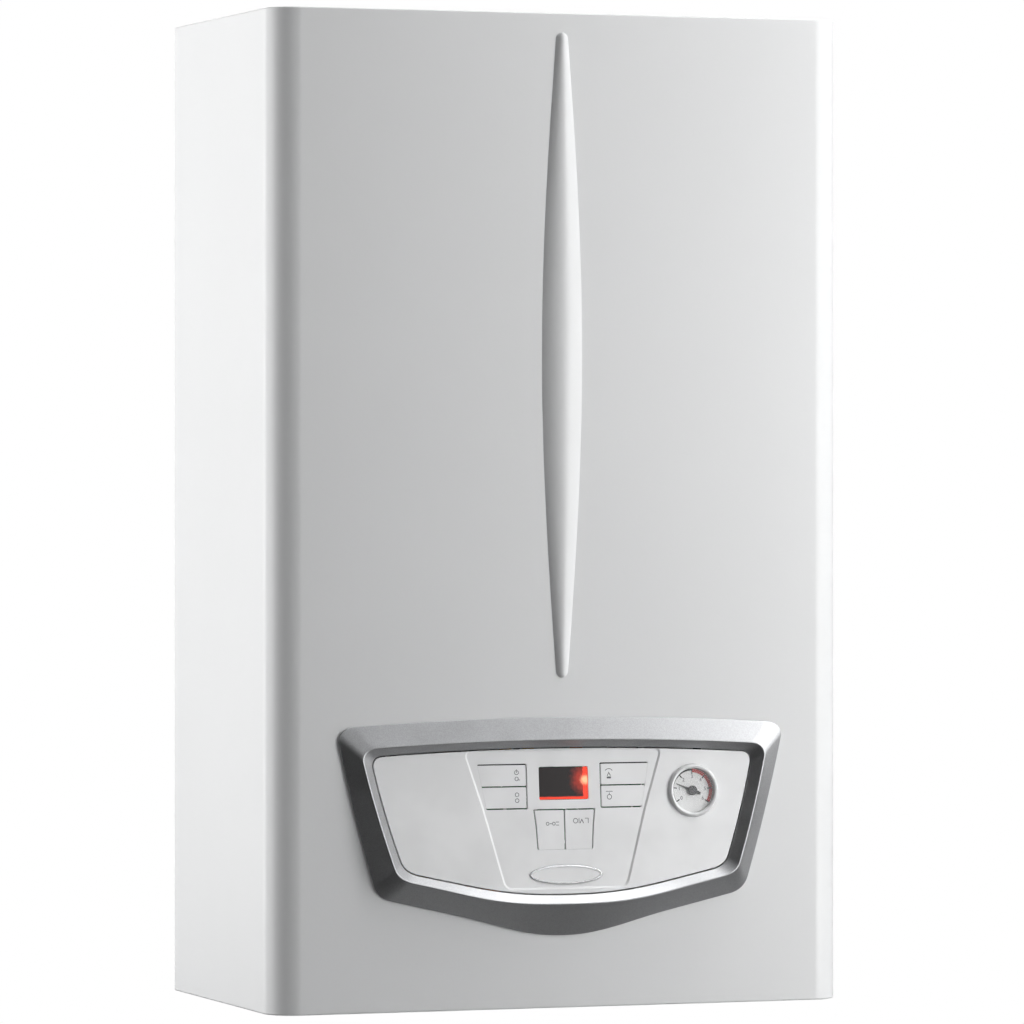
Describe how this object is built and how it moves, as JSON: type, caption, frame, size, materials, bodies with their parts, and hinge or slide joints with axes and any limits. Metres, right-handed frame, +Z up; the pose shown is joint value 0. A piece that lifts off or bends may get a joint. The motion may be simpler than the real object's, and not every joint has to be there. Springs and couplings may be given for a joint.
{
  "type": "wall-hung combi boiler",
  "caption": "Wall-hung gas combi boiler that heats rooms and tap water: white casing with a pressed ridge, silver-framed control panel, and the sealed chamber, fan, exchangers and pump inside.",
  "frame": {"origin": "on the wall face, behind the middle of the casing", "axes": "+X to the right seen from the front, -Y out of the wall to the front, +Z up"},
  "size_m": [0.44, 0.2571, 0.72],
  "materials": {
    "white_enamel": "smooth satin white powder coat",
    "satin_silver": "satin metallic dark silver paint on moulded plastic",
    "white_plastic": "fine-grained pale plastic",
    "dark_plastic": "fine-grained black plastic",
    "grey_plastic": "mid grey moulded plastic",
    "red_plastic": "red moulded knob",
    "dial_white": "printed white dial",
    "clear_plastic": "clear moulded lens",
    "red_filter": "dark red display filter",
    "sight_glass": "clear heat-proof glass",
    "galvanised_steel": "galvanised sheet",
    "aluminised_steel": "aluminised sheet",
    "stainless_steel": "plain stainless steel",
    "cast_aluminium": "die-cast aluminium",
    "brass": "machined hot-pressed brass",
    "copper": "drawn copper",
    "painted_red": "red paint on pressed steel",
    "cast_iron_black": "black-painted cast iron",
    "ceramic": "white electrode ceramic",
    "circuit_board": "green circuit board"
  },
  "bodies": {
    "boiler": {"fascia": "white_plastic", "badge_plaque": "white_plastic", "display_window": "red_filter", "control_board": "circuit_board", "control_box": "dark_plastic", "gauge_case": "white_plastic", "gauge_dial": "dial_white", "gauge_lens": "clear_plastic", "gauge_capillary": "copper", "back_frame": "galvanised_steel", "connection_rail": "galvanised_steel", "cable_gland": "dark_plastic", "sealed_chamber": "aluminised_steel", "chamber_cover": "aluminised_steel", "sight_glass": "sight_glass", "expansion_vessel": "painted_red", "burner": "stainless_steel", "injector_bar": "brass", "electrodes": "ceramic", "firebox": "aluminised_steel", "heat_exchanger": "copper", "flue_hood": "aluminised_steel", "fan_housing": "galvanised_steel", "fan_motor": "cast_iron_black", "flue_outlet": "aluminised_steel", "air_collar": "cast_aluminium", "air_pressure_switch": "grey_plastic", "heating_flow_tail": "copper", "hot_water_tail": "copper", "gas_tail": "copper", "cold_water_tail": "copper", "heating_return_tail": "copper", "flow_manifold": "brass", "return_manifold": "brass", "plate_exchanger": "stainless_steel", "pump_body": "cast_iron_black", "pump_motor": "cast_aluminium", "air_vent": "brass", "diverter_actuator": "dark_plastic", "safety_valve": "brass", "gas_valve": "cast_aluminium", "gas_valve_coil": "dark_plastic", "flow_pipe": "copper", "return_pipe": "copper", "gas_feed_pipe": "copper", "vessel_pipe": "copper"},
    "cover": {"casing": "white_enamel", "panel_frame": "satin_silver"},
    "key left top": {"key_left_top": "white_plastic"},
    "key left middle": {"key_left_middle": "white_plastic"},
    "key left low": {"key_left_low": "white_plastic"},
    "key right top": {"key_right_top": "white_plastic"},
    "key right middle": {"key_right_middle": "white_plastic"},
    "key right low": {"key_right_low": "white_plastic"},
    "needle": {"gauge_needle": "dark_plastic"},
    "fan wheel": {"fan_wheel": "stainless_steel"},
    "pump rotor": {"pump_rotor": "stainless_steel"},
    "diverter stem": {"diverter_stem": "stainless_steel"},
    "safety knob": {"safety_valve_knob": "red_plastic"},
    "filling knob": {"filling_valve_knob": "dark_plastic"}
  },
  "joints": [
    {"name": "cover_removal", "type": "slide", "parent": "boiler", "child": "cover", "axis": [0, -1, 0], "range_m": [0, 0.3]},
    {"name": "press_left_top", "type": "hinge", "parent": "boiler", "child": "key left top", "pos_m": [-0.0643, -0.24193, -0.19123], "axis": [-0.1843, 0.0771, 0.9798], "range_deg": [0, 2.5], "stiffness_Nm_per_rad": 1.2},
    {"name": "press_left_middle", "type": "hinge", "parent": "boiler", "child": "key left middle", "pos_m": [-0.0613, -0.24319, -0.20718], "axis": [-0.1843, 0.0771, 0.9798], "range_deg": [0, 2.5], "stiffness_Nm_per_rad": 1.2},
    {"name": "press_left_low", "type": "hinge", "parent": "boiler", "child": "key left low", "pos_m": [-0.012, -0.24614, -0.24477], "axis": [-1, 0, 0], "range_deg": [0, 3], "stiffness_Nm_per_rad": 1.2},
    {"name": "press_right_top", "type": "hinge", "parent": "boiler", "child": "key right top", "pos_m": [0.0643, -0.24193, -0.19123], "axis": [-0.1843, -0.0771, -0.9798], "range_deg": [0, 2.5], "stiffness_Nm_per_rad": 1.2},
    {"name": "press_right_middle", "type": "hinge", "parent": "boiler", "child": "key right middle", "pos_m": [0.0613, -0.24319, -0.20718], "axis": [-0.1843, -0.0771, -0.9798], "range_deg": [0, 2.5], "stiffness_Nm_per_rad": 1.2},
    {"name": "press_right_low", "type": "hinge", "parent": "boiler", "child": "key right low", "pos_m": [0.012, -0.24614, -0.24477], "axis": [-1, 0, 0], "range_deg": [0, 3], "stiffness_Nm_per_rad": 1.2},
    {"name": "gauge_reading", "type": "hinge", "parent": "boiler", "child": "needle", "pos_m": [0.1, -0.24375, -0.20413], "axis": [0, -0.9969, 0.0785], "range_deg": [-193, 55], "stiffness_Nm_per_rad": 0.001},
    {"name": "fan_turning", "type": "hinge", "parent": "boiler", "child": "fan wheel", "pos_m": [-0.052, -0.1415, 0.268], "axis": [0, -1, 0], "continuous": true},
    {"name": "pump_turning", "type": "hinge", "parent": "boiler", "child": "pump rotor", "pos_m": [0.15, -0.1, -0.19], "axis": [0, -1, 0], "continuous": true},
    {"name": "diverter_stroke", "type": "slide", "parent": "boiler", "child": "diverter stem", "axis": [0, 0, 1], "range_m": [0, 0.006]},
    {"name": "safety_valve_test", "type": "hinge", "parent": "boiler", "child": "safety knob", "pos_m": [0.128, -0.15, -0.279], "axis": [0, -1, 0], "range_deg": [0, 90]},
    {"name": "filling_valve_turn", "type": "hinge", "parent": "boiler", "child": "filling knob", "pos_m": [0.092, -0.15, -0.324], "axis": [0, 0, 1], "range_deg": [0, 360]}
  ]
}
